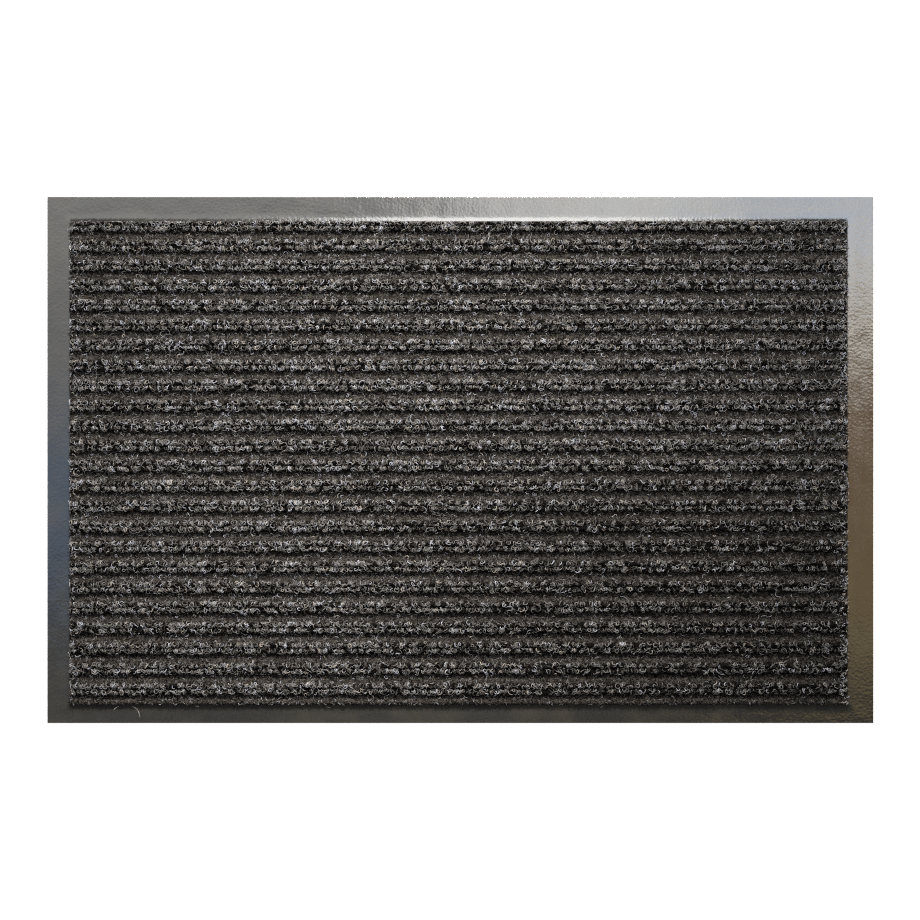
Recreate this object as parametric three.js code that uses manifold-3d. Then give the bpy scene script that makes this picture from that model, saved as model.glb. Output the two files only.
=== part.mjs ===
// A ribbed entrance mat: a flexible PVC sheet with a smooth border, a needle-felt carpet
// bonded into its recess, and double ribs of looped pile standing on the felt.
// Millimetres, +Z up. X runs along the ribs, +Y points to the back edge, and the origin is
// the middle of the underside.
import * as THREE from 'three';
import { mergeVertices } from 'three/addons/utils/BufferGeometryUtils.js';
import Module from 'manifold-3d';

// Overall plan of the mat.
const MAT_LENGTH = 785;
const MAT_WIDTH = 500;

// Bare border left on each side of the carpet. The carpet isn't quite centred.
const BORDER_LEFT = 21.8;
const BORDER_RIGHT = 25.1;
const BORDER_BACK = 23.4;
const BORDER_FRONT = 18.1;

// PVC backing sheet.
const BORDER_THICKNESS = 2;
const FLOOR_THICKNESS = 1.4; // what is left of the sheet under the felt
const EDGE_RADIUS = 0.8; // rounding of the outer top edge
const EDGE_STEPS = 4;
const BEAD_WIDTH = 8; // the sheet swells up to the carpet over this width
const BEAD_HEIGHT = 0.8;
const BEAD_STEPS = 6;

// Needle-felt carpet.
const FELT_THICKNESS = 2.8;
const FELT_CLEARANCE = 0.3; // between the felt's cut edge and the recess wall

// Double ribs of looped pile. Each is two rows of loops that share a shallow valley. The
// carpet is cut from a wider roll, and its back edge cuts off part of the first rib.
const RIB_COUNT = 24;
const ROW_WIDTH = 5.9;
const ROW_OVERLAP = 0.5; // how far the two rows run into each other at the valley
const ROW_HEIGHT = 3.6;
const ROW_STEPS = 10;
const FIRST_RIB_CUT = 2.4; // what the back edge takes off the first rib's width
const FRONT_STRIP = 9.8; // flat felt in front of the last rib

// The felt fills what the borders leave, and the ribs share its width evenly.
const FELT_LENGTH = MAT_LENGTH - BORDER_LEFT - BORDER_RIGHT;
const FELT_WIDTH = MAT_WIDTH - BORDER_BACK - BORDER_FRONT;
const FELT_X = (BORDER_LEFT - BORDER_RIGHT) / 2;
const FELT_Y = (BORDER_FRONT - BORDER_BACK) / 2;
const FELT_TOP = FLOOR_THICKNESS + FELT_THICKNESS;
const ROW_SPACING = ROW_WIDTH - ROW_OVERLAP;
const RIB_WIDTH = ROW_SPACING + ROW_WIDTH;
const RIB_PITCH = (FELT_WIDTH + FIRST_RIB_CUT - FRONT_STRIP - RIB_WIDTH) / (RIB_COUNT - 1);
const FIRST_RIB_Y = FELT_Y + FELT_WIDTH / 2 + FIRST_RIB_CUT - RIB_WIDTH / 2;

const pvc = new THREE.MeshStandardMaterial({ color: 0x2b2b2a, roughness: 0.5, metalness: 0 });
const felt = new THREE.MeshStandardMaterial({ color: 0x2a2724, roughness: 1, metalness: 0 });
const pile = new THREE.MeshStandardMaterial({ color: 0x3f3c39, roughness: 0.9, metalness: 0 });

const wasm = await Module();
wasm.setup();

// A closed three.js geometry as a solid that can be joined and cut.
function toSolid(geometry) {
  const bare = geometry.clone();
  bare.deleteAttribute('normal');
  bare.deleteAttribute('uv');
  const merged = mergeVertices(bare);
  return new wasm.Manifold(
    new wasm.Mesh({
      numProp: 3,
      vertProperties: merged.attributes.position.array,
      triVerts: new Uint32Array(merged.index.array),
    }),
  );
}

function toGeometry(solid) {
  const { vertProperties, triVerts } = solid.getMesh();
  const geometry = new THREE.BufferGeometry();
  geometry.setAttribute('position', new THREE.BufferAttribute(vertProperties, 3));
  geometry.setIndex(new THREE.BufferAttribute(triVerts, 1));
  geometry.computeVertexNormals();
  return geometry;
}

function rectangle(length, width) {
  const shape = new THREE.Shape();
  shape.moveTo(-length / 2, -width / 2);
  shape.lineTo(length / 2, -width / 2);
  shape.lineTo(length / 2, width / 2);
  shape.lineTo(-length / 2, width / 2);
  shape.closePath();
  return shape;
}

// A rectangular slab from z = 0 to top whose upper edges are rounded off. The rounding runs
// in from the edge and down from the top; its lower twin is sunk below z = 0 and cut away.
function roundedSlab(length, width, top, run, drop, steps) {
  const geometry = new THREE.ExtrudeGeometry(rectangle(length, width), {
    depth: top,
    bevelEnabled: true,
    bevelSize: run,
    bevelOffset: -run,
    bevelThickness: drop,
    bevelSegments: steps,
  });
  geometry.translate(0, 0, -drop);
  const below = new THREE.BoxGeometry(2 * length, 2 * width, 4 * drop);
  below.translate(0, 0, -2 * drop);
  return toSolid(geometry).subtract(toSolid(below));
}

function backingSheet() {
  const plate = roundedSlab(MAT_LENGTH, MAT_WIDTH, BORDER_THICKNESS, EDGE_RADIUS, EDGE_RADIUS, EDGE_STEPS);

  const bead = roundedSlab(
    FELT_LENGTH + 2 * BEAD_WIDTH,
    FELT_WIDTH + 2 * BEAD_WIDTH,
    BORDER_THICKNESS + BEAD_HEIGHT,
    BEAD_WIDTH - FELT_CLEARANCE,
    BEAD_HEIGHT,
    BEAD_STEPS,
  ).translate([FELT_X, FELT_Y, 0]);

  const recess = new THREE.BoxGeometry(
    FELT_LENGTH + 2 * FELT_CLEARANCE,
    FELT_WIDTH + 2 * FELT_CLEARANCE,
    2 * (BORDER_THICKNESS + BEAD_HEIGHT),
  );
  recess.translate(FELT_X, FELT_Y, FLOOR_THICKNESS + BORDER_THICKNESS + BEAD_HEIGHT);

  const mesh = new THREE.Mesh(toGeometry(plate.add(bead).subtract(toSolid(recess))), pvc);
  mesh.name = 'backing_sheet';
  return mesh;
}

function feltCarpet() {
  const mesh = new THREE.Mesh(new THREE.BoxGeometry(FELT_LENGTH, FELT_WIDTH, FELT_THICKNESS), felt);
  mesh.name = 'felt_carpet';
  mesh.position.set(FELT_X, FELT_Y, FLOOR_THICKNESS + FELT_THICKNESS / 2);
  return mesh;
}

// Section of a double rib across its length: two rounded rows that meet in a valley.
function ribSection() {
  const half = ROW_SPACING / 2;
  const meeting = Math.acos(ROW_SPACING / ROW_WIDTH);
  const shape = new THREE.Shape();
  shape.moveTo(half + ROW_WIDTH / 2, 0);
  shape.absellipse(half, 0, ROW_WIDTH / 2, ROW_HEIGHT, 0, Math.PI - meeting, false);
  shape.absellipse(-half, 0, ROW_WIDTH / 2, ROW_HEIGHT, meeting, Math.PI, false);
  shape.closePath();
  return shape;
}

function doubleRibs() {
  const geometry = new THREE.ExtrudeGeometry(ribSection(), {
    depth: FELT_LENGTH,
    bevelEnabled: false,
    curveSegments: ROW_STEPS,
  });
  geometry.translate(0, 0, -FELT_LENGTH / 2);
  // The section's own x and y become the mat's Y and Z, and its depth runs along X.
  geometry.applyMatrix4(
    new THREE.Matrix4().makeBasis(
      new THREE.Vector3(0, 1, 0),
      new THREE.Vector3(0, 0, 1),
      new THREE.Vector3(1, 0, 0),
    ),
  );

  // The first rib keeps only what lies in front of the carpet's back edge.
  const kept = new THREE.BoxGeometry(2 * FELT_LENGTH, RIB_WIDTH, 4 * ROW_HEIGHT);
  kept.translate(0, -FIRST_RIB_CUT, 0);
  const shaved = toGeometry(toSolid(geometry).intersect(toSolid(kept)));

  const ribs = new THREE.Group();
  for (let i = 0; i < RIB_COUNT; i++) {
    const rib = new THREE.Mesh(i === 0 ? shaved : geometry, pile);
    rib.name = `double_rib_${String(i + 1).padStart(2, '0')}`;
    rib.position.set(FELT_X, FIRST_RIB_Y - i * RIB_PITCH, FELT_TOP);
    ribs.add(rib);
  }
  return ribs;
}

const mat = new THREE.Group();
mat.add(backingSheet(), feltCarpet(), doubleRibs());

export default mat;
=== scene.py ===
"""Looks of a ribbed entrance mat: a PVC sheet, a needle-felt carpet and double ribs of looped pile.

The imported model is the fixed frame. Every piece is built in its place in that frame, in metres.
"""

import math

import bpy
import numpy as np
from bpy.props import FloatProperty, FloatVectorProperty, IntProperty, PointerProperty
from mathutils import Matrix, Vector


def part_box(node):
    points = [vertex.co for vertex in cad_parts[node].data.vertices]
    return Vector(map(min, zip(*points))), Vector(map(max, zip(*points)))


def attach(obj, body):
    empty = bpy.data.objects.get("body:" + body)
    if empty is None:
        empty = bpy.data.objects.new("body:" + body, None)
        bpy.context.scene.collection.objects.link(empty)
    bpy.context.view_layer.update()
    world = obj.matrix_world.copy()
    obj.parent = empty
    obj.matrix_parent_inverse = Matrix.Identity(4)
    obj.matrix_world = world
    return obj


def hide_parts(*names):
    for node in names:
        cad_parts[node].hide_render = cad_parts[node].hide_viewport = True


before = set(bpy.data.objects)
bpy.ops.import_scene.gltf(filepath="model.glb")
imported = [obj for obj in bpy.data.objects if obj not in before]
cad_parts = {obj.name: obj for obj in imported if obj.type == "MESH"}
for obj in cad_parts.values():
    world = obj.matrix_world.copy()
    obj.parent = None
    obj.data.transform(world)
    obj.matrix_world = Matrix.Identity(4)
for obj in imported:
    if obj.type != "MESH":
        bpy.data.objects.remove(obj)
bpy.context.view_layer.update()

bl_info = {
    "name": "Ribbed Door Mat",
    "version": (1, 0, 0),
    "blender": (4, 5, 0),
    "location": "View3D > Sidebar > Door Mat",
    "description": "Builds a ribbed entrance mat with looped pile on a PVC sheet, and its studio",
    "category": "Add Mesh",
}

MM = 0.001
PER_CM = 100  # centimetres in a metre
PER_CM2 = 10000  # square centimetres in a square metre

RIB_NODES = sorted(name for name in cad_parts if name.startswith("double_rib_"))

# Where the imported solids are.
SHEET_LOW, SHEET_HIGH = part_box("backing_sheet")
FELT_LOW, FELT_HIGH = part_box("felt_carpet")
RIB_BOXES = [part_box(name) for name in RIB_NODES]
RIB_WIDTH = RIB_BOXES[1][1].y - RIB_BOXES[1][0].y  # the first rib is shaved by the carpet's edge
RIB_PITCH = (RIB_BOXES[0][0].y - RIB_BOXES[-1][0].y) / (len(RIB_BOXES) - 1)
GROOVE = RIB_PITCH - RIB_WIDTH

# Starts of the random draws that no property sets.
SHEET_SEED = 3
FELT_SEED = 5
CORE_SEED = 9


# ----------------------------------------
# Sizes and colours
# ----------------------------------------


def length(name, description, default_mm, **limits):
    """A length property, given in millimetres and kept in metres."""
    return FloatProperty(
        name=name, description=description, default=default_mm * MM, min=0, subtype="DISTANCE",
        unit="LENGTH", precision=5, **limits,
    )


def share(name, description, default, top=1.0):
    """A plain number from 0 to top."""
    return FloatProperty(name=name, description=description, default=default, min=0, max=top)


def colour(name, description, default):
    """A scene-linear colour."""
    return FloatVectorProperty(
        name=name, description=description, default=default, size=3, min=0, max=1, subtype="COLOR"
    )


class SheetLook(bpy.types.PropertyGroup):
    """The moulded PVC sheet."""

    border_thickness: length("Border thickness", "Thickness of the flat border", 2.0)
    edge_radius: length("Edge radius", "Rounding of the outer top edge", 0.12)
    bead_width: length("Bead width", "Width over which the sheet swells up to the carpet", 9.0)
    recess_gap: length("Recess gap", "Gap between the carpet's cut edge and the recess wall", 0.3)
    floor_thickness: length("Floor thickness", "Thickness of the sheet under the carpet", 1.4)
    wave_height: length("Wave height", "How far the border's top rises and falls", 0.1)
    black: colour("Black", "The PVC's own colour", (0.026, 0.026, 0.026))
    dust: colour("Dust", "Dry dust in the grain", (0.07, 0.062, 0.047))
    grain_size: length("Grain size", "Width of one cell of the leathery grain", 2.6)
    grain_depth: length("Grain depth", "Depth of the leathery grain", 0.064)


class FeltLook(bpy.types.PropertyGroup):
    """The flat needle felt between the ribs."""

    dark: colour("Dark", "Darkest fibres of the felt", (0.006, 0.005, 0.004))
    light: colour("Light", "Lightest fibres of the felt", (0.125, 0.113, 0.104))
    nap_height: length("Nap height", "Unevenness of the felt's face", 0.22)
    groove_rise: length("Groove rise", "How far a groove climbs to the back foot of the next rib", 1.9)
    fibres_per_cm2: FloatProperty(
        name="Fibres", description="Loose fibres on each square centimetre of groove", default=42, min=0
    )
    fibre_thickness: length("Fibre thickness", "Thickness of a tuft of groove fibres", 0.5)


class PileLook(bpy.types.PropertyGroup):
    """The looped pile of the double ribs."""

    row_overlap: length("Row overlap", "How far the two rows of a rib run into each other", 0.9)
    core_inset: length("Core inset", "How far the dense core lies under the loops", 0.2625)
    loops_per_cm: FloatProperty(
        name="Loops", description="Loops on each centimetre of a row", default=18, min=0
    )
    loop_length: length("Loop length", "Usual length of the yarn in one loop", 6.5)
    loop_thickness: length("Loop thickness", "Thickness of one loop's bundle of fibres", 0.85)
    pale_rise: length("Pale rise", "How much higher the palest loops stand than the darkest", 0.9)
    wander: length("Wander", "How far a row strays from a straight line", 0.35)
    askew: FloatProperty(
        name="Askew", description="How much the rows turn against the sheet", default=math.radians(0.06),
        subtype="ANGLE", unit="ROTATION",
    )
    sag: length("Sag", "How much further forward the outer rows lie than the middle ones", 1.7)
    front_drop: length("Front drop", "How much lower a rib's front row stands than its back row", 0.5)
    # Painted shade: the front row's yarn is picked darker, as in the back row's shadow.
    front_shade: share("Front shade", "How much darker a rib's front row is", 0.35, top=5)
    # Painted shade: the yarn is picked darker low on a row, at its feet and in the valley between the
    # rows.
    foot_shade: share("Foot shade", "How much darker the yarn is at a row's feet", 1.9, top=5)
    # Painted shade: the yarn is picked darker towards the front right corner, where the light falls off.
    painted_corner_shade: share("Painted corner shade", "How much darker the front right corner is", 1.2, top=5)
    curls_per_cm2: FloatProperty(
        name="Curls", description="Loose light curls on each square centimetre", default=3.2, min=0
    )
    stray_count: IntProperty(
        name="Stray fibres", description="Fibres that stick out of the carpet's ends", default=560, min=0
    )
    stray_right: share("Strays on the right", "Share of the stray fibres at the right end", 0.75)
    seed: IntProperty(name="Seed", description="Start of the random draws", default=11)


class StudioLook(bpy.types.PropertyGroup):
    """Floor, light and camera."""

    floor: colour("Floor", "Colour of the pale floor", (0.6, 0.6, 0.6))
    floor_glow: share("Floor glow", "Light of the floor itself, as on a lit table", 0.93, top=5)
    sky: colour("Sky", "Colour of the light from all round", (1.0, 0.985, 0.95))
    key_power: FloatProperty(name="Key", description="Power of the key light", default=780, min=0)
    window: share("Window", "Brightness of the window panel", 2.8, top=50)
    walls: share("Walls", "Brightness of the dimmer panels beside the window", 0.95, top=50)
    ambient: share("Ambient", "Strength of the light from overhead, where no panel is", 0.03, top=5)
    horizon: share("Horizon", "Strength of the light from low down all round", 0.4, top=5)
    lens_mm: FloatProperty(name="Lens", description="Focal length in millimetres", default=85, min=1)
    view_width: length("View width", "Width of floor that the camera takes in", 875)
    aside: length("Aside", "How far the camera stands left of the mat's middle", 0.4)


# ----------------------------------------
# Mesh helpers
# ----------------------------------------


def add_object(name, data):
    """A new object in the scene, from a mesh, a light or a camera."""
    made = bpy.data.objects.new(name, data)
    bpy.context.scene.collection.objects.link(made)
    return made


def add_piece(name, mesh, slot, *nodes):
    """A piece that rides with the mat and stands for these nodes, which it hides. The slot is not used.
    """
    piece = add_object(name, mesh)
    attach(piece, "root")
    if nodes:
        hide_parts(*nodes)
    return piece


def mesh_from_arrays(name, points, faces, materials=(), face_materials=None, smooth=True):
    """A mesh from an array of points and a list of index arrays, one for each face size."""
    mesh = bpy.data.meshes.new(name)
    corners = np.concatenate([f.ravel() for f in faces]).astype(np.int32)
    sizes = np.concatenate([np.full(len(f), f.shape[1], np.int32) for f in faces])
    starts = np.concatenate([[0], np.cumsum(sizes)[:-1]]).astype(np.int32)
    mesh.vertices.add(len(points))
    mesh.vertices.foreach_set("co", points.astype(np.float32).ravel())
    mesh.loops.add(len(corners))
    mesh.loops.foreach_set("vertex_index", corners)
    mesh.polygons.add(len(sizes))
    mesh.polygons.foreach_set("loop_start", starts)
    for material in materials:
        mesh.materials.append(material)
    if face_materials is not None:
        mesh.polygons.foreach_set("material_index", face_materials.astype(np.int32))
    mesh.polygons.foreach_set("use_smooth", np.full(len(sizes), smooth))
    mesh.update(calc_edges=True)
    return mesh


def waves(rng, x, y, wavelength, count=24):
    """Smooth random height from -1 to about 1: sine waves of about this length in all directions."""
    total = np.zeros(np.broadcast(x, y).shape)
    for _ in range(count):
        angle = rng.uniform(0, math.tau)
        stretch = rng.uniform(0.6, 1.7)
        phase = rng.uniform(0, math.tau)
        along = x * math.cos(angle) + y * math.sin(angle)
        total += np.sin(math.tau * along / (wavelength * stretch) + phase)
    return total / math.sqrt(count)


# ----------------------------------------
# Materials
# ----------------------------------------


def node(tree, kind, **values):
    """Adds a node and sets its properties, or its inputs where a name is an input's."""
    made = tree.nodes.new(kind)
    for key, value in values.items():
        if hasattr(made, key):
            setattr(made, key, value)
        else:
            made.inputs[key.replace("_", " ")].default_value = value
    return made


def feed(tree, socket, source):
    """Links an output to this input, or sets the input to a plain value."""
    if isinstance(source, bpy.types.NodeSocket):
        tree.links.new(source, socket)
    else:
        socket.default_value = source


def maths(tree, operation, *terms):
    """The output of a maths node on outputs or numbers."""
    made = node(tree, "ShaderNodeMath", operation=operation)
    for socket, term in zip(made.inputs, terms):
        feed(tree, socket, term)
    return made.outputs[0]


def mix_colours(tree, factor, first, second):
    """The output of a mix of two colours or colour outputs by a factor output."""
    mix = node(tree, "ShaderNodeMix", data_type="RGBA")
    for name, source in (("Factor", factor), ("A", first), ("B", second)):
        feed(tree, mix.inputs[name], source)
    return mix.outputs["Result"]


def add_bump(tree, shader, height, depth):
    """Gives the shader a face that rises by depth where the height output is 1."""
    bump = node(tree, "ShaderNodeBump", Strength=1.0, Distance=depth)
    tree.links.new(height, bump.inputs["Height"])
    tree.links.new(bump.outputs["Normal"], shader.inputs["Normal"])


def group_tree(name, inputs, outputs):
    """An empty node group with named sockets: (name, type, default) in and (name, type) out."""
    tree = bpy.data.node_groups.new(name, "ShaderNodeTree")
    for socket_name, kind, default in inputs:
        socket = tree.interface.new_socket(socket_name, in_out="INPUT", socket_type=kind)
        socket.default_value = default
    for socket_name, kind in outputs:
        tree.interface.new_socket(socket_name, in_out="OUTPUT", socket_type=kind)
    return tree, tree.nodes.new("NodeGroupInput"), tree.nodes.new("NodeGroupOutput")


def fibre_mottle_group():
    """Felted fibres: short streaks of dark and light in two directions, with their height."""
    if "Fibre mottle" in bpy.data.node_groups:
        return bpy.data.node_groups["Fibre mottle"]
    tree, into, out = group_tree(
        "Fibre mottle",
        [
            ("Dark", "NodeSocketColor", (0.02, 0.02, 0.02, 1)),
            ("Light", "NodeSocketColor", (0.1, 0.1, 0.1, 1)),
            ("Scale", "NodeSocketFloat", 900.0),
        ],
        [("Color", "NodeSocketColor"), ("Height", "NodeSocketFloat")],
    )
    link = tree.links.new
    place = node(tree, "ShaderNodeTexCoord")
    heights = []
    for turn, stretch in ((0.5, (0.35, 1.0, 1.0)), (-0.9, (1.0, 0.4, 1.0))):
        mapping = node(tree, "ShaderNodeMapping", Rotation=(0, 0, turn), Scale=stretch)
        link(place.outputs["Object"], mapping.inputs["Vector"])
        streak = node(tree, "ShaderNodeTexNoise", Detail=4.0, Roughness=0.65, Distortion=1.2)
        link(mapping.outputs["Vector"], streak.inputs["Vector"])
        link(into.outputs["Scale"], streak.inputs["Scale"])
        heights.append(streak.outputs["Fac"])
    contrast = node(tree, "ShaderNodeMapRange", From_Min=0.45, From_Max=0.72)
    link(maths(tree, "MAXIMUM", *heights), contrast.inputs["Value"])
    shade = mix_colours(tree, contrast.outputs["Result"], into.outputs["Dark"], into.outputs["Light"])
    link(shade, out.inputs["Color"])
    link(contrast.outputs["Result"], out.inputs["Height"])
    return tree


def principled(name, roughness, specular=0.5):
    """A new material, its node tree and its Principled shader."""
    material = bpy.data.materials.new(name)
    material.use_nodes = True
    tree = material.node_tree
    shader = tree.nodes["Principled BSDF"]
    shader.inputs["Roughness"].default_value = roughness
    shader.inputs["Specular IOR Level"].default_value = specular
    return material, tree, shader


def pvc_material(look):
    """Black PVC with a leathery grain, faint drawing streaks and dust in places."""
    material, tree, shader = principled("Black PVC", 0.22, specular=1.0)
    shader.inputs["IOR"].default_value = 1.75
    link = tree.links.new
    place = node(tree, "ShaderNodeTexCoord")

    grain = node(
        tree, "ShaderNodeTexVoronoi", feature="SMOOTH_F1", Scale=1 / look.grain_size, Smoothness=0.6
    )
    pores = node(tree, "ShaderNodeTexNoise", Scale=1.2 / look.grain_size, Detail=3.0, Roughness=0.6)
    clouds = node(tree, "ShaderNodeTexNoise", Scale=22.0, Detail=3.0, Roughness=0.55)
    for texture in (grain, pores, clouds):
        link(place.outputs["Object"], texture.inputs["Vector"])

    along_y = node(tree, "ShaderNodeMapping", Scale=(1.0, 0.04, 1.0))
    link(place.outputs["Object"], along_y.inputs["Vector"])
    streaks = node(tree, "ShaderNodeTexNoise", Scale=130.0, Detail=3.0, Roughness=0.7)
    link(along_y.outputs["Vector"], streaks.inputs["Vector"])

    dusty = node(tree, "ShaderNodeMapRange", From_Min=0.45, From_Max=0.8, To_Max=0.6)
    link(clouds.outputs["Fac"], dusty.inputs["Value"])
    base = mix_colours(tree, dusty.outputs["Result"], (*look.black, 1), (*look.dust, 1))
    link(base, shader.inputs["Base Color"])

    uneven = maths(tree, "ADD", clouds.outputs["Fac"], streaks.outputs["Fac"])
    broad = node(tree, "ShaderNodeMapRange", From_Min=0.7, From_Max=1.3, To_Min=0.06, To_Max=0.14)
    link(uneven, broad.inputs["Value"])
    pore_roughness = 0.1
    roughness = maths(
        tree, "MULTIPLY_ADD", pores.outputs["Fac"], pore_roughness, broad.outputs["Result"]
    )
    link(roughness, shader.inputs["Roughness"])

    streak_height = 1.2  # beside the grain's, which is 1
    leather = maths(tree, "ADD", grain.outputs["Distance"], pores.outputs["Fac"])
    height = maths(tree, "MULTIPLY_ADD", streaks.outputs["Fac"], streak_height, leather)
    add_bump(tree, shader, height, look.grain_depth)
    return material


def felt_material(name, dark, light, scale, depth):
    """Felted fibres with a bumpy face."""
    material, tree, shader = principled(name, 0.95, specular=0.08)
    mottle = tree.nodes.new("ShaderNodeGroup")
    mottle.node_tree = fibre_mottle_group()
    mottle.inputs["Dark"].default_value = (*dark, 1)
    mottle.inputs["Light"].default_value = (*light, 1)
    mottle.inputs["Scale"].default_value = scale
    tree.links.new(mottle.outputs["Color"], shader.inputs["Base Color"])
    add_bump(tree, shader, mottle.outputs["Height"], depth)
    return material


# Shades of yarn from dark to light: name, linear colour, and its share of the loops, of the felt's
# fibres and of the loose curls.
YARNS = (
    ("Yarn black", (0.003, 0.003, 0.004), 0.09, 0.24, 0.0),
    ("Yarn charcoal", (0.012, 0.0105, 0.0105), 0.10, 0.18, 0.0),
    ("Yarn brown", (0.034, 0.0255, 0.022), 0.07, 0.14, 0.0),
    ("Yarn dark grey", (0.067, 0.063, 0.061), 0.18, 0.17, 0.0),
    ("Yarn grey", (0.135, 0.129, 0.126), 0.24, 0.14, 0.3),
    ("Yarn light grey", (0.252, 0.247, 0.257), 0.22, 0.10, 0.42),
    ("Yarn warm white", (0.43, 0.394, 0.362), 0.03, 0.00, 0.08),
    ("Yarn cool white", (0.43, 0.457, 0.535), 0.06, 0.03, 0.2),
)
LOOP_SHARES, FELT_SHARES, CURL_SHARES = zip(*(yarn[2:] for yarn in YARNS))
WARM_WHITE = len(YARNS) - 2
STRAY_YARNS = [len(YARNS) - 3, WARM_WHITE, len(YARNS) - 1]


def yarn_materials():
    """One material for each shade of yarn, made once."""
    made = []
    for name, shade, *_ in YARNS:
        material = bpy.data.materials.get(name)
        if material is None:
            material, _, shader = principled(name, 0.6, specular=0.12)
            shader.inputs["Base Color"].default_value = (*shade, 1)
        made.append(material)
    return made


# ----------------------------------------
# Backing sheet
# ----------------------------------------


def ring(low, high, across, along):
    """Points round a rectangle from its low corner, with this many steps on its X and Y sides."""
    u = np.linspace(0, 1, across, endpoint=False)
    v = np.linspace(0, 1, along, endpoint=False)
    x = np.concatenate([u, np.ones(along), 1 - u, np.zeros(along)])
    y = np.concatenate([np.zeros(across), v, np.ones(across), 1 - v])
    return np.column_stack([low[0] + (high[0] - low[0]) * x, low[1] + (high[1] - low[1]) * y])


def bead_rise(t):
    """Height of the bead as a share of its crest, at a share t of the way from its foot to the carpet."""
    return 0.45 * t**2 + 0.55 * t**4


def sheet_rings(look):
    """The sheet's section, from the underside's rim over the border and down into the recess.

    Each step of it is a rectangle: its corners, its height and how far it follows the border's waves.
    """
    outer = np.array([SHEET_LOW[:2], SHEET_HIGH[:2]])
    inner = np.array([FELT_LOW[:2], FELT_HIGH[:2]]) + np.array([[-1], [1]]) * look.recess_gap
    inward = np.array([[1], [-1]])
    top, radius = look.border_thickness, look.edge_radius
    rim = 0.1 * MM
    edge_steps, border_steps, bead_steps = 4, 8, 10

    rings = [(outer + inward * rim, 0.0, 0.0), (outer, rim, 0.0)]
    for turn in np.linspace(0, math.pi / 2, edge_steps + 1):
        run = radius * (1 - math.cos(turn))
        rings.append((outer + inward * run, top - radius + radius * math.sin(turn), 0.0))

    # A narrow ring just inside the rounding keeps its shading off the flat border.
    edge = outer + inward * radius
    rings.append((edge + inward * rim, top, 0.0))
    foot = inner - inward * look.bead_width
    full_waves = 1 / 1.2  # where the waves are at their full height, as a share of the border's width
    for t in np.linspace(0, 1, border_steps + 1)[1:]:
        rings.append((edge + (foot - edge) * t, top, math.sin(math.pi / 2 * min(t / full_waves, 1))))

    crest = SHEET_HIGH.z - top
    for t in np.linspace(0, 1, bead_steps + 1)[1:]:
        rings.append((inner - inward * look.bead_width * (1 - t), top + crest * bead_rise(t), 1 - t))
    rings.append((inner, look.floor_thickness, 0.0))
    return rings


def backing_mesh(look):
    """One closed skin: underside, rounded rim, wavy border, bead and recess."""
    step = 4 * MM
    across = round((SHEET_HIGH.x - SHEET_LOW.x) / step)
    along = round((SHEET_HIGH.y - SHEET_LOW.y) / step)
    count = 2 * (across + along)
    rings = sheet_rings(look)
    layers = []
    for corners, z, waviness in rings:
        flat = ring(*corners, across, along)
        layers.append(np.column_stack([flat, np.full(count, z), np.full(count, waviness)]))
    points = np.concatenate(layers)

    rng = np.random.default_rng(SHEET_SEED)
    long_waves = waves(rng, points[:, 0], points[:, 1], 90 * MM)
    short_waves = waves(rng, points[:, 0], points[:, 1], 22 * MM)
    points[:, 2] += look.wave_height * points[:, 3] * (0.6 * long_waves + 0.4 * short_waves)
    points = points[:, :3]

    underside, points = plate(points, 0, *rings[0][:2], across, along, facing=-1)
    last = (len(rings) - 1) * count
    floor, points = plate(points, last, *rings[-1][:2], across, along, facing=1)
    faces = np.concatenate([bands(count, len(rings)), underside, floor])
    return mesh_from_arrays("backing_sheet_skin", points, [faces])


def bands(count, layers):
    """Quads between each ring of count points and the next ring."""
    here = np.arange(count) + count * np.arange(layers - 1)[:, None]
    after = np.roll(here, -1, axis=1)
    return np.stack([here, after, after + count, here + count], axis=-1).reshape(-1, 4)


def plate(points, first, corners, z, across, along, facing):
    """Fills the ring that starts at point first with a grid. Gives the grid's faces and all points."""
    low, high = corners
    ids = np.full((across + 1, along + 1), -1)
    ids[:-1, 0] = first + np.arange(across)
    ids[-1, :-1] = first + across + np.arange(along)
    ids[1:, -1] = first + across + along + np.arange(across)[::-1]
    ids[0, 1:] = first + 2 * across + along + np.arange(along)[::-1]
    gx, gy = np.meshgrid(
        np.linspace(low[0], high[0], across + 1), np.linspace(low[1], high[1], along + 1), indexing="ij"
    )
    inside = ids < 0
    ids[inside] = len(points) + np.arange(inside.sum())
    new = np.column_stack([gx[inside], gy[inside], np.full(inside.sum(), z)])
    quad = [ids[:-1, :-1], ids[1:, :-1], ids[1:, 1:], ids[:-1, 1:]][::facing]
    return np.column_stack([corner.ravel() for corner in quad]), np.concatenate([points, new])


# ----------------------------------------
# Felt carpet and the ribs' cores
# ----------------------------------------


def felt_rise(y, look):
    """How far the felt's face is over its usual height: low in front of a rib, high behind the next."""
    last = RIB_BOXES[-1][0].y
    in_front = np.mod(RIB_BOXES[0][0].y - y, RIB_PITCH)
    in_front = np.where(y < last, np.minimum(last - y, GROOVE), in_front)
    across_groove = (np.minimum(in_front, GROOVE) / GROOVE) ** 1.3
    under_rib = np.clip((RIB_PITCH - in_front) / RIB_WIDTH, 0, 1)
    climb = np.where(in_front <= GROOVE, across_groove, under_rib)
    usual = 0.45  # the share of the climb at which the face has its usual height
    return look.groove_rise * (climb - usual)


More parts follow.
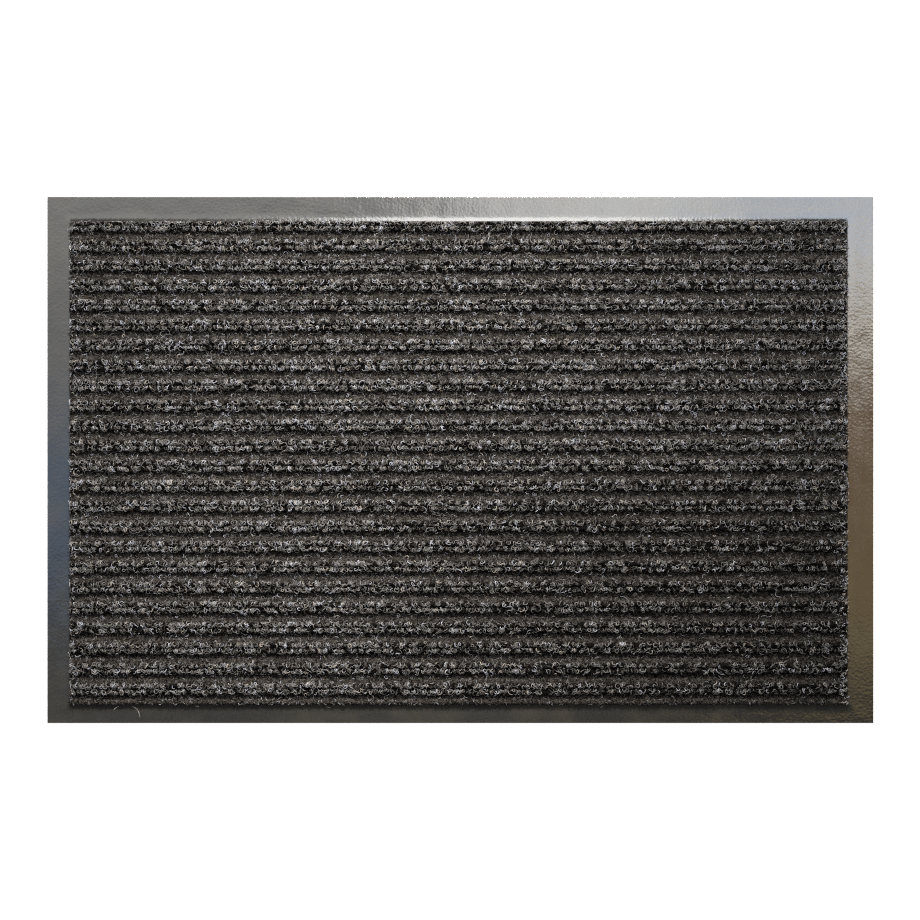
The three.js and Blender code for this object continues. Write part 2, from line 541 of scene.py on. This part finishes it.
def felt_mesh(look):
    """A closed slab of felt whose face rises and falls with the nap and the grooves."""
    step = 1.9 * MM
    across = round((FELT_HIGH.x - FELT_LOW.x) / step)
    along = round((FELT_HIGH.y - FELT_LOW.y) / step)
    count = 2 * (across + along)
    low, high = np.array(FELT_LOW[:2]), np.array(FELT_HIGH[:2])
    round_off = 0.5 * MM
    shoulder = round_off * 0.4
    outlines = [
        ((low, high), FELT_LOW.z),
        ((low, high), FELT_HIGH.z - round_off),
        ((low + shoulder, high - shoulder), FELT_HIGH.z - round_off * 0.3),
        ((low + round_off, high - round_off), FELT_HIGH.z),
    ]
    points = np.concatenate([
        np.column_stack([ring(*corners, across, along), np.full(count, z)]) for corners, z in outlines
    ])
    last = (len(outlines) - 1) * count
    face, points = plate(points, last, *outlines[-1], across, along, facing=1)
    underside = np.arange(count)[None, ::-1]

    rng = np.random.default_rng(FELT_SEED)
    on_face = points[:, 2] > FELT_HIGH.z - 0.1 * round_off
    x, y = points[on_face, 0], points[on_face, 1]
    nap = 0.5 * waves(rng, x, y, 7 * MM) + 0.5 * rng.uniform(-1, 1, len(x))
    points[on_face, 2] += look.nap_height * 0.5 * (nap - 1) + felt_rise(y, look)
    quads = np.concatenate([bands(count, len(outlines)), face])
    return mesh_from_arrays("felt_carpet_cloth", points, [quads, underside])


class Row:
    """One row of pile: half of a double rib, with its own wandering line and swelling height."""

    CORE_WIDTH = 0.86  # share of the row's width that its body takes up
    LOOP_DEPTH = 0.75 * MM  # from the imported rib's top down to the row's body
    LEAST_HEIGHT = 0.1 * MM  # of the pile over the felt
    BACK_MARGIN = 0.8 * MM  # the carpet's back edge cuts the pile off this far inside it
    END_FALL = 0.8  # how steeply the pile falls away past the row's ends

    def __init__(self, rng, rib, side, look):
        low, high = RIB_BOXES[rib]
        self.x_low, self.x_high = low.x, high.x
        width = (RIB_WIDTH + look.row_overlap) / 2
        self.half = width / 2
        self.base = low.z
        self.front = side < 0
        self.height = high.z - low.z - (look.front_drop if self.front else 0)
        line = low.y + RIB_WIDTH / 2 + side * (width - look.row_overlap) / 2
        out = (line - (FELT_LOW.y + FELT_HIGH.y) / 2) / (FELT_HIGH.y - FELT_LOW.y) * 2
        unmoved = 0.35  # out, squared, of the rows that the sag leaves in place
        self.line = line + look.sag * (unmoved - out**2)
        self.wander = look.wander
        self.slope = math.tan(look.askew)
        self.middle = (low.x + high.x) / 2
        self.phases = rng.uniform(0, math.tau, 8)
        self.lengths = rng.uniform(18, 95, 8) * MM

    def _mix(self, x, picks):
        return sum(np.sin(math.tau * x / self.lengths[i] + self.phases[i]) for i in picks) / len(picks)

    def y(self, x):
        """The row's middle line."""
        return self.line + self.slope * (x - self.middle) + self.wander * self._mix(x, (0, 1, 2, 3))

    def swell(self, x):
        """How full the row is: about 1."""
        return 1 + 0.09 * self._mix(x, (4, 5, 6, 7))

    def surface(self, x, turn, lift):
        """Where the pile is, lift over the row's body and turn radians round it from its +Y foot."""
        full = self.swell(x)
        fall = self.END_FALL * np.maximum(np.maximum(self.x_low - x, x - self.x_high), 0)
        reach = self.half * self.CORE_WIDTH * full + lift
        height = (self.height - self.LOOP_DEPTH) * full + lift
        y = np.minimum(self.y(x) + reach * np.cos(turn), FELT_HIGH.y - self.BACK_MARGIN)
        z = np.maximum(height * np.sin(turn), self.LEAST_HEIGHT) + self.base - fall
        return y, z


def core_mesh(rows, look):
    """The dense ground of the ribs, dark with its yarn and with painted shade: a lumpy solid under the
    loops, a closed strip for each rib.
    """
    rng = np.random.default_rng(CORE_SEED)
    first = rows[0][0]
    step = 2.6 * MM
    stations = np.linspace(first.x_low, first.x_high, round((first.x_high - first.x_low) / step))
    from_end = np.minimum(stations - first.x_low, first.x_high - stations)
    taper = np.sqrt(np.clip(from_end / (2.5 * MM), 0.16, 1))
    points, sides, ends = [], [], []
    start = 0
    for back, front in rows:
        valley = math.acos(np.clip(1 - look.row_overlap / (2 * back.half), 0, 1)) + 0.25
        section = []
        for row, turn_low, turn_high in ((back, 0, math.pi - valley), (front, valley, math.pi)):
            for turn in np.linspace(turn_low, turn_high, 7):
                beads = 0.16 * MM * np.sin(math.tau * stations / (4.6 * MM) + row.phases[0])
                lumps = 0.2 * MM * rng.uniform(-1, 1, len(stations))
                y, z = row.surface(stations, turn, beads + lumps - look.core_inset)
                middle = row.y(stations)
                section.append(np.column_stack([
                    stations, middle + (y - middle) * taper, row.base + (z - row.base) * taper,
                ]))
        strip = np.stack(section, axis=1)
        strip[:, 0, 2] = strip[:, -1, 2] = back.base
        points.append(strip.reshape(-1, 3))
        here = start + np.arange(strip[..., 0].size).reshape(strip.shape[:2])
        after = np.roll(here, -1, axis=1)
        sides.append(np.stack([here[:-1], after[:-1], after[1:], here[1:]], axis=-1).reshape(-1, 4))
        ends += [here[0, ::-1], here[-1]]
        start += here.size
    faces = [np.concatenate(sides), np.stack(ends)]
    return mesh_from_arrays("rib_cores", np.concatenate(points), faces)


# ----------------------------------------
# Fibres
# ----------------------------------------


def curly_plan(rng, count, steps, long, bend, heading):
    """Curling fibres seen from above, each with its middle at (0, 0).

    Gives each point's way along and across, and its place in the fibre, from -0.5 to 0.5.
    """
    share_along = np.linspace(-0.5, 0.5, steps)[None, :]
    s = share_along * long[:, None]
    ripple = rng.uniform(0.1, 0.7, (count, 1))
    beat = rng.uniform(0.6, 1.6, (count, 1))
    phase = rng.uniform(0, math.tau, (count, 1))
    angle = heading[:, None] + bend[:, None] * s + ripple * np.sin(math.tau * beat * share_along + phase)
    stride = long[:, None] / (steps - 1)
    along = np.cumsum(np.cos(angle), axis=1) * stride
    across = np.cumsum(np.sin(angle), axis=1) * stride
    middle = steps // 2
    return along - along[:, middle:middle + 1], across - across[:, middle:middle + 1], share_along


def tubes(centre, radius, sides=3):
    """Closed tubes along centre[fibre, point] with radius[fibre, point]: points, quads, end faces."""
    count, steps, _ = centre.shape
    along = np.gradient(centre, axis=1)
    along /= np.linalg.norm(along, axis=2, keepdims=True) + 1e-12
    up = np.broadcast_to(np.array([0.13, 0.21, 0.97]), along.shape)
    across = np.cross(along, up)
    across /= np.linalg.norm(across, axis=2, keepdims=True) + 1e-12
    over = np.cross(across, along)
    angles = math.pi / 2 + math.tau * np.arange(sides) / sides
    ring_points = (
        centre[:, :, None, :]
        + radius[:, :, None, None]
        * (np.cos(angles)[None, None, :, None] * across[:, :, None, :]
           + np.sin(angles)[None, None, :, None] * over[:, :, None, :])
    )
    ids = np.arange(count * steps * sides).reshape(count, steps, sides)
    following = np.roll(ids, -1, axis=2)
    quads = np.stack([ids[:, :-1], following[:, :-1], following[:, 1:], ids[:, 1:]], axis=-1)
    ends = np.concatenate([ids[:, 0, ::-1], ids[:, -1, :]], axis=0)
    return ring_points.reshape(-1, 3), quads.reshape(-1, 4), ends


def fibre_mesh(name, batches):
    """One mesh from batches of fibres: (centre, radius, shade of each fibre)."""
    points, quads, ends, quad_shades, end_shades = [], [], [], [], []
    start = 0
    for centre, radius, shades in batches:
        batch_points, batch_quads, batch_ends = tubes(centre, radius)
        points.append(batch_points)
        quads.append(batch_quads + start)
        ends.append(batch_ends + start)
        quad_shades.append(np.repeat(shades, len(batch_quads) // len(shades)))
        end_shades.append(np.tile(shades, 2))
        start += len(batch_points)
    return mesh_from_arrays(
        name, np.concatenate(points), [np.concatenate(quads), np.concatenate(ends)],
        materials=yarn_materials(), face_materials=np.concatenate(quad_shades + end_shades),
    )


def pick_shades(rng, count, shares, paleness):
    """A shade for each fibre: the shares lean to light where paleness is over 0 and to dark under it."""
    shares = np.array(shares)
    order = np.linspace(-1, 1, len(shares))
    lean = 0.6
    weights = shares[None, :] * np.exp(lean * paleness[:, None] * order[None, :])
    steps = np.cumsum(weights, axis=1)
    steps /= steps[:, -1:]
    return (rng.uniform(0, 1, (count, 1)) > steps).sum(axis=1).clip(0, len(shares) - 1)


def taper_radius(rng, count, steps, thickness):
    """Radius along each fibre: a little uneven, and thinner at the ends."""
    t = np.linspace(0, 1, steps)[None, :]
    end = 0.55
    fullness = end + (1 - end) * np.sin(math.pi * t) ** 0.5
    return 0.5 * thickness * rng.uniform(0.75, 1.25, (count, 1)) * fullness


def patches(seed, painted_corner_shade):
    """A function of place: how pale the yarn is, in patches that are long along the ribs, with painted
    shade towards the front right corner.
    """
    count = 40
    tilts, sizes, phases = np.random.default_rng(seed).uniform(0, math.tau, (3, count))
    angles = 1.2 * (tilts / math.tau - 0.5)
    wavelengths = (14 + 12 * sizes) * MM
    squeeze = 4.0  # how much narrower than long the patches are

    def pale(x, y):
        total = np.zeros(len(x))
        for angle, wavelength, phase in zip(angles, wavelengths, phases):
            along = x * math.cos(angle) + squeeze * y * math.sin(angle * 3)
            total += np.sin(math.tau * along / wavelength + phase)
        # The patches, darkened by painted shade towards the front right corner.
        return 0.45 * total / math.sqrt(count) - painted_corner_shade * painted_corner_falloff(x, y)

    return pale


def painted_corner_falloff(x, y):
    """How much painted shade darkens the yarn where the light falls off: from 0 over most of the carpet
    to 1.7 at its front right corner.
    """
    right, front = x / FELT_HIGH.x, y / FELT_LOW.y
    broad = np.clip((right + 0.3) / 0.6, 0, 1) * np.clip((front + 0.1) / 0.4, 0, 1)
    return broad + 0.7 * np.maximum(right, 0) * np.maximum(front, 0)


def row_loops(rng, row, pale, look):
    """Loops of yarn that stand over one row, gathered in tufts."""
    count = int((row.x_high - row.x_low) * PER_CM * look.loops_per_cm)
    steps = 8
    half_way = steps // 2
    long = look.loop_length * rng.uniform(0.55, 1.35, count)
    bend = rng.choice([-1, 1], count) * rng.uniform(0.25, 0.8, count) / MM
    heading = math.pi / 2 + rng.normal(0, 0.75, count)
    along, across, t = curly_plan(rng, count, steps, long, bend, heading)

    tuft_spacing = 4.3 * MM
    tufts = np.arange(row.x_low, row.x_high, tuft_spacing)
    tufts = tufts + rng.uniform(-1.0, 1.0, len(tufts)) * MM
    tuft = rng.integers(0, len(tufts), count)
    x = tufts[tuft, None] + rng.normal(0, 1.25, (count, 1)) * MM + along
    ragged = 1.2  # millimetres by which the cut ends vary
    left = row.x_low + rng.uniform(0, ragged, (count, 1)) * MM
    right = row.x_high - rng.uniform(0, ragged, (count, 1)) * MM
    x = np.clip(x, left, right)

    radian = 3.1 * MM  # the way over the row that turns a loop by a radian
    lowest_turn = 0.03
    middle = rng.normal(math.pi / 2, 0.62, (count, 1))
    turn = np.clip(middle + across / radian, lowest_turn, math.pi - lowest_turn)
    tuft_contrast = 0.45
    paleness = pale(x[:, half_way], row.line) + rng.normal(0, tuft_contrast, len(tufts))[tuft]
    # Painted shade: loops are picked darker low on a row, at its feet and in the valley between the two
    # rows.
    low = np.clip(1.6 * (1 - np.sin(turn[:, half_way])), 0, 1)
    # Painted shade: the whole front row is picked darker, as in the back row's shadow.
    paleness = paleness - look.foot_shade * low - (look.front_shade if row.front else 0)
    shades = pick_shades(rng, count, LOOP_SHARES, paleness)

    rise = rng.uniform(-0.2, 0.3, (count, 1)) * MM + look.pale_rise * shades[:, None] / len(YARNS)
    rise = rise + rng.uniform(0.05, 0.8, (count, 1)) * MM * np.cos(math.pi * t)
    y, z = row.surface(x, turn, rise)
    return np.stack([x, y, z], axis=-1), taper_radius(rng, count, steps, look.loop_thickness), shades


def ground_height(x, y, rows):
    """Height at which fibres lie on the rows' loops or on the felt, at points of one rib's strip."""
    z = FELT_HIGH.z + felt_rise(y, bpy.context.scene.door_mat_felt)
    lying = 0.86  # share of a row's height
    for row in rows:
        across = (y - row.y(x)) / row.half
        arch = np.sqrt(np.clip(1 - across**2, 0, 1))
        z = np.maximum(z, row.base + row.height * row.swell(x) * lying * arch)
    return z


def lying_fibres(rng, x, y, rows, long, bend, lift, thickness, shades, steps=6):
    """Fibres that lie on the felt or over the rows, with their middles at x, y."""
    count = len(x)
    along, across, t = curly_plan(rng, count, steps, long, bend, rng.uniform(0, math.pi, count))
    front, back = FELT_LOW.y - 0.5 * MM, FELT_HIGH.y + 0.6 * MM
    px = x[:, None] + along
    py = np.clip(y[:, None] + across, front, back)
    ground = ground_height(px, py, rows)
    smooth = ground.copy()
    smooth[:, 1:-1] = np.maximum(ground[:, 1:-1], (ground[:, :-2] + ground[:, 2:]) / 2)
    beyond = np.maximum(np.maximum(FELT_LOW.x - px, px - FELT_HIGH.x), 0)
    end_lift = 0.35  # beside the lift of a fibre's middle
    droop = 0.7  # how steeply a fibre falls past the carpet's ends
    pz = smooth + lift[:, None] * (end_lift + (1 - end_lift) * np.cos(math.pi * t)) - droop * beyond
    centre = np.stack([px, py, pz], axis=-1)
    return centre, taper_radius(rng, count, steps, thickness), shades


def groove_fuzz(rng, rib, rows, corner_shade, look):
    """Short, drab fibres on the felt of the groove in front of a rib."""
    low, high = RIB_BOXES[rib]
    groove = GROOVE if rib < len(RIB_BOXES) - 1 else low.y - FELT_LOW.y
    count = int((high.x - low.x) * groove * PER_CM2 * look.fibres_per_cm2)
    x = rng.uniform(low.x, high.x, count)
    y = rng.uniform(low.y - groove, low.y, count)
    long = rng.uniform(2.0, 5.5, count) * MM
    bend = rng.uniform(-0.5, 0.5, count) / MM
    lift = rng.uniform(0.05, 0.35, count) * MM
    # Painted shadow: the fibres are picked darker in a band in front of the front row's foot, where the
    # rib's shadow falls; painted shade also darkens them towards the front right corner.
    from_foot = rows[1].y(x) - rows[1].half - y
    shade_width = 2.5 * MM
    in_shade = np.clip(1 - from_foot / shade_width, 0, 1)
    shades = pick_shades(rng, count, FELT_SHARES, 0.2 - 2.0 * in_shade - corner_shade * painted_corner_falloff(x, y))
    return lying_fibres(rng, x, y, rows, long, bend, lift, look.fibre_thickness, shades, steps=4)


def loose_curls(rng, rib, rows, pale, look):
    """Lighter curls that stray over the rib and into its groove."""
    low, high = RIB_BOXES[rib]
    count = int((high.x - low.x) * RIB_PITCH * PER_CM2 * look.curls_per_cm2)
    x = rng.uniform(low.x, high.x, count)
    y = low.y + rng.uniform(-0.35, 1.02, count) * RIB_WIDTH
    keep = rng.uniform(0, 1, count) < np.exp(pale(x, y) - 0.6)
    x, y = x[keep], y[keep]
    count = len(x)
    long = rng.uniform(4, 9, count) * MM
    bend = rng.choice([-1, 1], count) * rng.uniform(0.25, 0.95, count) / MM
    lift = rng.uniform(0.3, 1.3, count) * MM
    shades = rng.choice(len(YARNS), count, p=CURL_SHARES)
    return lying_fibres(rng, x, y, rows, long, bend, lift, 0.8 * look.loop_thickness, shades, steps=9)


def sheet_top(x, y):
    """Height of the sheet's top outside the carpet."""
    look = bpy.context.scene.door_mat_sheet
    beside = np.maximum(FELT_LOW.x - x, x - FELT_HIGH.x)
    before = np.maximum(FELT_LOW.y - y, y - FELT_HIGH.y)
    t = np.clip(1 - np.maximum(beside, before) / look.bead_width, 0, 1)
    return look.border_thickness + (SHEET_HIGH.z - look.border_thickness) * bead_rise(t)


# Fibres that lie on the front border, in millimetres and radians: how far to the right and in front of
# the carpet's front left corner, heading and length.
FALLEN = (
    (64.5, 6.5, 5.35, 15),
    (43, 3.7, 0.7, 6.5),
    (120, 2, 2.6, 5),
    (245, 3, 5.6, 6),
    (505, 2, 0.4, 5),
)


def stray_fibres(rng, look):
    """Pale fibres that stick out of the carpet's cut ends, and a few that lie on the border."""
    thickness = 0.8 * MM
    count, steps = look.stray_count, 6
    side = np.where(rng.uniform(0, 1, count) < look.stray_right, 1, -1)
    edge = np.where(side > 0, FELT_HIGH.x, FELT_LOW.x)
    x = edge + side * rng.uniform(-7.0, 1.3, count) * MM
    y = rng.uniform(FELT_LOW.y, FELT_HIGH.y, count)
    heading = np.where(side > 0, 0, math.pi) + rng.normal(0, 0.8, count)
    long = rng.uniform(1.8, 4.2, count) * MM
    bend = rng.uniform(-0.5, 0.5, count) / MM
    along, across, _ = curly_plan(rng, count, steps, long, bend, heading)
    px, py = x[:, None] + along, y[:, None] + across
    out = side[:, None] * (px - edge[:, None])
    steepness = 1.2  # of their fall from the pile to the border
    pz = sheet_top(px, py) + 0.35 * MM + np.clip(2.4 * MM - steepness * out, 0, 4.6 * MM)
    centre = np.stack([px, py, pz], axis=-1)
    fringe = (centre, taper_radius(rng, count, steps, thickness), rng.choice(STRAY_YARNS, count))

    count, steps = len(FALLEN), 9
    right, front, heading, long = np.array(FALLEN).T
    bend = rng.uniform(-0.1, 0.1, count) / MM
    along, across, _ = curly_plan(rng, count, steps, long * MM, bend, heading)
    px, py = FELT_LOW.x + right[:, None] * MM + along, FELT_LOW.y - front[:, None] * MM + across
    pz = np.where(py > FELT_LOW.y, FELT_HIGH.z, sheet_top(px, py)) + 0.4 * MM
    centre = np.stack([px, py, pz], axis=-1)
    lying = (centre, taper_radius(rng, count, steps, thickness), np.full(count, WARM_WHITE))
    return fibre_mesh("stray_fibres", [fringe, lying])


# ----------------------------------------
# Operators
# ----------------------------------------


class MAT_OT_backing(bpy.types.Operator):
    """Make the PVC sheet with its smooth border and bead"""

    bl_idname = "door_mat.backing"
    bl_label = "PVC backing sheet"

    def execute(self, context):
        look = context.scene.door_mat_sheet
        mesh = backing_mesh(look)
        mesh.materials.append(pvc_material(look))
        mesh.set_sharp_from_angle(angle=math.radians(50))
        add_piece("backing_sheet_skin", mesh, "backing", "backing_sheet")
        return {"FINISHED"}


class MAT_OT_felt(bpy.types.Operator):
    """Make the needle-felt carpet that lies in the sheet's recess"""

    bl_idname = "door_mat.felt"
    bl_label = "Felt carpet"

    def execute(self, context):
        look = context.scene.door_mat_felt
        mesh = felt_mesh(look)
        cloth = felt_material("Needle felt", look.dark, look.light, scale=700.0, depth=0.3 * MM)
        mesh.materials.append(cloth)
        piece = add_piece("felt_carpet_cloth", mesh, "felt", "felt_carpet")
        return {"FINISHED"}


class MAT_OT_pile(bpy.types.Operator):
    """Make the ribs: their dense cores, the loops over them and the fibres between them"""

    bl_idname = "door_mat.pile"
    bl_label = "Looped pile"

    def execute(self, context):
        look = context.scene.door_mat_pile
        felt = context.scene.door_mat_felt
        rng = np.random.default_rng(look.seed)
        rows = [(Row(rng, rib, 1, look), Row(rng, rib, -1, look)) for rib in range(len(RIB_NODES))]
        cores = core_mesh(rows, look)
        # The ground's yarn is near black and is painted darker still, as painted shade deep between the
        # loops.
        dark, light = (0.001, 0.001, 0.001), (0.014, 0.012, 0.011)
        cores.materials.append(felt_material("Pile ground and painted shade", dark, light, scale=900.0, depth=0.5 * MM))
        add_piece("rib_cores", cores, "pile")

        pale = patches(look.seed + 1, look.painted_corner_shade)
        for rib, node_name in enumerate(RIB_NODES):
            batches = [row_loops(rng, row, pale, look) for row in rows[rib]]
            batches.append(groove_fuzz(rng, rib, rows[rib], look.painted_corner_shade, felt))
            batches.append(loose_curls(rng, rib, rows[rib], pale, look))
            name = node_name.replace("double_rib", "pile_rib")
            add_piece(name, fibre_mesh(name, batches), "pile", node_name)
        add_piece("stray_fibres", stray_fibres(rng, look), "pile")
        return {"FINISHED"}


# The key light stands behind the mat and shines down on it. Metres.
KEY_PLACE = Vector((0.1, 2.3, 1.55))
KEY_AIM = Vector((-0.075, -0.03, 0))

# Tints of the panels of light.
PLAIN = (1, 1, 0.985)
COOL = (0.9, 0.98, 1.1)
BLUE = (0.55, 0.86, 1.35)
PALE_WARM = (1.08, 1.0, 0.86)
WARM = (1.9, 1.05, 0.42)
OLIVE = (1.6, 1.15, 0.42)

# Panels of light that the smooth border mirrors, all at one height: name, low and high corner in metres,
# brightness and tint.
PANEL_HEIGHT = 2.0
WINDOW_PANELS = (
    ("Window", (-0.04, 0.22), (0.22, 0.85), 0.97, PLAIN),
    ("Window middle", (0.22, 0.22), (0.45, 0.85), 1.12, PLAIN),
    ("Window top", (-0.24, 0.85), (0.45, 1.8), 1.9, PLAIN),
    ("Window side", (0.45, 0.38), (0.68, 1.1), 0.86, COOL),
    ("Window end", (0.68, 0.38), (2.1, 1.1), 1.02, COOL),
    ("Window foot", (0.45, 0.22), (2.1, 0.38), 1.14, PALE_WARM),
)
WALL_PANELS = (
    ("Back wall", (-2.1, 0.3), (-0.04, 0.48), 0.82, PLAIN),
    ("High back wall", (-2.1, 0.48), (-0.04, 1.1), 1.15, PLAIN),
    ("Left wall", (-2.1, 0.06), (-0.5, 0.3), 0.6, PLAIN),
    ("Blue wall", (-2.1, -0.26), (-0.5, 0.06), 0.5, BLUE),
    ("Low left wall", (-2.1, -0.7), (-0.5, -0.26), 0.12, PALE_WARM),
    ("Front wall", (-0.4, -0.64), (0.2, -0.4), 0.15, PALE_WARM),
    ("Warm wall", (0.5, -0.16), (2.1, 0.21), 0.3, WARM),
    ("Olive wall", (0.5, -0.42), (2.1, -0.16), 0.4, OLIVE),
)


class MAT_OT_stage(bpy.types.Operator):
    """Make the pale floor, the soft lights and the camera over the mat"""

    bl_idname = "door_mat.stage"
    bl_label = "Studio"

    def execute(self, context):
        look = context.scene.door_mat_studio
        self.floor(look)
        self.lights(look)
        self.ambient(context.scene, look)
        self.camera(context.scene, look)
        context.scene.view_settings.view_transform = "Standard"
        context.scene.cycles.filter_width = 1.3
        context.scene.cycles.use_denoising = False
        return {"FINISHED"}

    def floor(self, look):
        half = 12.0  # metres from its middle to its edges
        points = np.array([[-half, -half, 0], [half, -half, 0], [half, half, 0], [-half, half, 0]])
        material, _, shader = principled("Pale floor", 0.8, specular=0.1)
        shader.inputs["Base Color"].default_value = (*look.floor, 1)
        shader.inputs["Emission Color"].default_value = (1, 1, 1, 1)
        shader.inputs["Emission Strength"].default_value = look.floor_glow
        mesh = mesh_from_arrays("floor", points, [np.array([[0, 1, 2, 3]])], [material], smooth=False)
        add_object("floor", mesh)

    def lights(self, look):
        self.key(look)
        for panels, brightness in ((WINDOW_PANELS, look.window), (WALL_PANELS, look.walls)):
            for name, low, high, level, tint in panels:
                self.panel(name, low, high, level * brightness, tint)

    def key(self, look):
        """A spot with a soft rim, low behind the mat, that is brightest on the mat's middle."""
        data = bpy.data.lights.new("Key", "SPOT")
        data.energy = look.key_power
        data.color = (1.0, 0.94, 0.83)
        data.shadow_soft_size = 0.28
        data.spot_size = math.radians(24.5)
        data.spot_blend = 1.0
        light = add_object("Key", data)
        light.location = KEY_PLACE
        aim = KEY_AIM - KEY_PLACE
        light.rotation_euler = aim.to_track_quat("-Z", "Y").to_euler()

    def panel(self, name, low, high, brightness, tint):
        """A light that hangs level over the mat, from its low corner to its high one, evenly bright."""
        data = bpy.data.lights.new(name, "AREA")
        data.shape = "RECTANGLE"
        data.size, data.size_y = high[0] - low[0], high[1] - low[1]
        data.energy = brightness * math.pi * (high[0] - low[0]) * (high[1] - low[1])
        data.color = tint
        light = add_object(name, data)
        light.location = ((low[0] + high[0]) / 2, (low[1] + high[1]) / 2, PANEL_HEIGHT)

    def ambient(self, scene, look):
        """Light from all round, stronger from low down, behind a white backdrop."""
        world = bpy.data.worlds.new("Studio")
        world.use_nodes = True
        tree = world.node_tree
        output = tree.nodes["World Output"]
        lit = tree.nodes["Background"]
        lit.inputs["Color"].default_value = (*look.sky, 1)
        way = node(tree, "ShaderNodeTexCoord")
        height = node(tree, "ShaderNodeSeparateXYZ")
        fade = node(tree, "ShaderNodeMapRange", From_Max=0.5, To_Min=look.horizon, To_Max=look.ambient)
        tree.links.new(way.outputs["Generated"], height.inputs["Vector"])
        tree.links.new(height.outputs["Z"], fade.inputs["Value"])
        tree.links.new(fade.outputs["Result"], lit.inputs["Strength"])
        seen = node(tree, "ShaderNodeBackground", Color=(1, 1, 1, 1), Strength=1.0)
        path = node(tree, "ShaderNodeLightPath")
        mix = node(tree, "ShaderNodeMixShader")
        tree.links.new(path.outputs["Is Camera Ray"], mix.inputs["Fac"])
        tree.links.new(lit.outputs["Background"], mix.inputs[1])
        tree.links.new(seen.outputs["Background"], mix.inputs[2])
        tree.links.new(mix.outputs["Shader"], output.inputs["Surface"])
        scene.world = world

    def camera(self, scene, look):
        """Straight above the mat, high enough to take in the view's width."""
        data = bpy.data.cameras.new("Camera")
        data.lens = look.lens_mm
        data.sensor_width = 36
        height = look.view_width * data.lens / data.sensor_width
        scene.camera = add_object("Camera", data)
        scene.camera.location = (-look.aside, 0, height)


class MAT_PT_panel(bpy.types.Panel):
    """Lists the mat's pieces"""

    bl_idname = "MAT_PT_panel"
    bl_label = "Ribbed door mat"
    bl_space_type = "VIEW_3D"
    bl_region_type = "UI"
    bl_category = "Door Mat"

    def draw(self, context):
        layout = self.layout
        for maker in PIECES:
            layout.operator(maker.bl_idname)
        for group_name in LOOKS:
            look = getattr(context.scene, group_name)
            box = layout.box()
            for prop in look.bl_rna.properties:
                if prop.identifier not in {"rna_type", "name"}:
                    box.prop(look, prop.identifier)


LOOKS = {
    "door_mat_sheet": SheetLook,
    "door_mat_felt": FeltLook,
    "door_mat_pile": PileLook,
    "door_mat_studio": StudioLook,
}
PIECES = (MAT_OT_backing, MAT_OT_felt, MAT_OT_pile, MAT_OT_stage)


def register():
    for look in LOOKS.values():
        bpy.utils.register_class(look)
    for name, look in LOOKS.items():
        setattr(bpy.types.Scene, name, PointerProperty(type=look))
    for maker in PIECES:
        bpy.utils.register_class(maker)
    bpy.utils.register_class(MAT_PT_panel)


def unregister():
    bpy.utils.unregister_class(MAT_PT_panel)
    for maker in reversed(PIECES):
        bpy.utils.unregister_class(maker)
    for name, look in reversed(LOOKS.items()):
        delattr(bpy.types.Scene, name)
        bpy.utils.unregister_class(look)


def main():
    """Builds the mat and its studio."""
    register()
    bpy.ops.door_mat.backing()
    bpy.ops.door_mat.felt()
    bpy.ops.door_mat.pile()
    bpy.ops.door_mat.stage()


if __name__ == "__main__":
    main()
